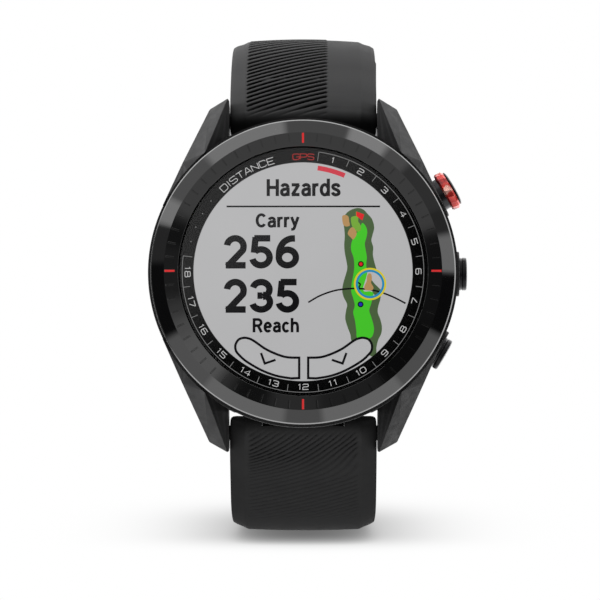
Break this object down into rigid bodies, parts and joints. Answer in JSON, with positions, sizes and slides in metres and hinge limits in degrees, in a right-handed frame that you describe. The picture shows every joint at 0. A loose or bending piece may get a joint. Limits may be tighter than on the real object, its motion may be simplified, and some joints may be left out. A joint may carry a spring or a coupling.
{
  "type": "golf gps watch",
  "caption": "Round sports watch with a numbered ring round its map display, faceted lugs, side push buttons and a two-piece silicone strap with a pin buckle, shown unbuckled.",
  "frame": {"origin": "centre of the flat rear sensor window, which rests on the wrist", "axes": "+Z towards 12 o'clock, +X towards the buttons at 3 o'clock, +Y out of the rear of the case towards the wrist, so the lens faces -Y"},
  "size_m": [0.0485, 0.1181, 0.078],
  "materials": {
    "case_polymer": "satin fibre-reinforced polymer",
    "bezel_ceramic": "polished",
    "lens_glass": "clear, coated",
    "dial_print": "printed, gloss",
    "display_panel": "lit panel",
    "seal_rubber": "matt",
    "chassis_plastic": "moulded",
    "circuit_board": "solder mask",
    "shield_steel": "plain",
    "antenna_copper": "copper foil",
    "battery_foil": "foil pouch",
    "motor_steel": "plain",
    "cover_polymer": "satin",
    "sensor_glass": "dark tinted",
    "contact_gold": "gold plated",
    "screw_steel": "plain",
    "button_black": "black coated",
    "button_red": "red anodised",
    "strap_silicone": "matt silicone",
    "buckle_steel": "black coated"
  },
  "bodies": {
    "case": {"case_body": "case_polymer", "bezel": "bezel_ceramic", "lens": "lens_glass", "lens_gasket": "seal_rubber", "dial_ring": "dial_print", "display_module": "display_panel", "chassis": "chassis_plastic", "main_board": "circuit_board", "rf_shield": "shield_steel", "gps_antenna": "antenna_copper", "battery": "battery_foil", "vibration_motor": "motor_steel", "rear_cover": "cover_polymer", "rear_gasket": "seal_rubber", "sensor_window": "sensor_glass", "sensor_board": "circuit_board", "contact_block": "chassis_plastic", "charge_contact_1": "contact_gold", "charge_contact_2": "contact_gold", "charge_contact_3": "contact_gold", "charge_contact_4": "contact_gold", "cover_screw_1": "screw_steel", "cover_screw_2": "screw_steel", "cover_screw_3": "screw_steel", "cover_screw_4": "screw_steel", "upper_button_bushing": "button_black", "upper_button_seal": "seal_rubber", "upper_button_spring": "screw_steel", "upper_button_switch": "chassis_plastic", "middle_button_bushing": "button_black", "middle_button_seal": "seal_rubber", "middle_button_spring": "screw_steel", "middle_button_switch": "chassis_plastic", "lower_button_bushing": "button_black", "lower_button_seal": "seal_rubber", "lower_button_spring": "screw_steel", "lower_button_switch": "chassis_plastic", "upper_lug_pin": "screw_steel", "lower_lug_pin": "screw_steel"},
    "upper_button": {"upper_button_plunger": "button_black", "upper_button_ring": "button_red", "upper_button_cap": "button_black", "upper_button_clip": "screw_steel"},
    "middle_button": {"middle_button_cap": "button_black", "middle_button_clip": "screw_steel"},
    "lower_button": {"lower_button_cap": "button_black", "lower_button_clip": "screw_steel"},
    "upper_strap_root": {"upper_strap": "strap_silicone", "upper_connector": "chassis_plastic"},
    "upper_strap_latch": {"upper_latch": "buckle_steel"},
    "upper_strap_tail": {"upper_strap_end": "strap_silicone", "fixed_keeper": "strap_silicone"},
    "lower_strap_root": {"lower_strap": "strap_silicone", "lower_connector": "chassis_plastic"},
    "lower_strap_latch": {"lower_latch": "buckle_steel"},
    "lower_strap_tail": {"lower_strap_end": "strap_silicone"},
    "buckle": {"buckle_frame": "buckle_steel", "buckle_bar": "screw_steel"},
    "tongue": {"buckle_tongue": "buckle_steel"},
    "free_keeper": {"free_keeper": "strap_silicone"}
  },
  "joints": [
    {"name": "upper_button_press", "type": "slide", "parent": "case", "child": "upper_button", "axis": [-0.866, 0, -0.5], "range_m": [0, 0.0006], "stiffness_N_per_m": 1500, "deforming": ["upper_button_spring"]},
    {"name": "middle_button_press", "type": "slide", "parent": "case", "child": "middle_button", "axis": [-1, 0, 0], "range_m": [0, 0.0006], "stiffness_N_per_m": 1500, "deforming": ["middle_button_spring"]},
    {"name": "lower_button_press", "type": "slide", "parent": "case", "child": "lower_button", "axis": [-0.866, 0, 0.5], "range_m": [0, 0.0006], "stiffness_N_per_m": 1500, "deforming": ["lower_button_spring"]},
    {"name": "upper_strap_hinge", "type": "hinge", "parent": "case", "child": "upper_strap_root", "pos_m": [0, -0.0008, 0.024], "axis": [1, 0, 0], "range_deg": [-12, 30], "stiffness_Nm_per_rad": 0.01},
    {"name": "upper_strap_flex", "type": "hinge", "parent": "upper_strap_root", "child": "upper_strap_tail", "pos_m": [0, 0.03231, 0.03662], "axis": [1, 0, 0], "range_deg": [-10, 35], "stiffness_Nm_per_rad": 0.02},
    {"name": "upper_latch_slide", "type": "slide", "parent": "upper_strap_root", "child": "upper_strap_latch", "axis": [0, 0.5878, 0.809], "range_m": [0, 0.0018], "stiffness_N_per_m": 300, "springref_m": -0.0005},
    {"name": "lower_strap_hinge", "type": "hinge", "parent": "case", "child": "lower_strap_root", "pos_m": [0, -0.0008, -0.024], "axis": [-1, 0, 0], "range_deg": [-12, 30], "stiffness_Nm_per_rad": 0.01},
    {"name": "lower_strap_flex", "type": "hinge", "parent": "lower_strap_root", "child": "lower_strap_tail", "pos_m": [0, 0.03628, -0.03614], "axis": [-1, 0, 0], "range_deg": [-8, 40], "stiffness_Nm_per_rad": 0.02},
    {"name": "lower_latch_slide", "type": "slide", "parent": "lower_strap_root", "child": "lower_strap_latch", "axis": [0, 0.5878, -0.809], "range_m": [0, 0.0018], "stiffness_N_per_m": 300, "springref_m": -0.0005},
    {"name": "buckle_hinge", "type": "hinge", "parent": "upper_strap_tail", "child": "buckle", "pos_m": [0, 0.06735, 0.0296], "axis": [1, 0, 0], "range_deg": [-50, 20]},
    {"name": "tongue_hinge", "type": "hinge", "parent": "buckle", "child": "tongue", "pos_m": [0, 0.06735, 0.0296], "axis": [1, 0, 0], "range_deg": [0, 85]},
    {"name": "free_keeper_slide", "type": "slide", "parent": "upper_strap_tail", "child": "free_keeper", "axis": [0, 0.9763, -0.2165], "range_m": [-0.004, 0.0032]}
  ]
}
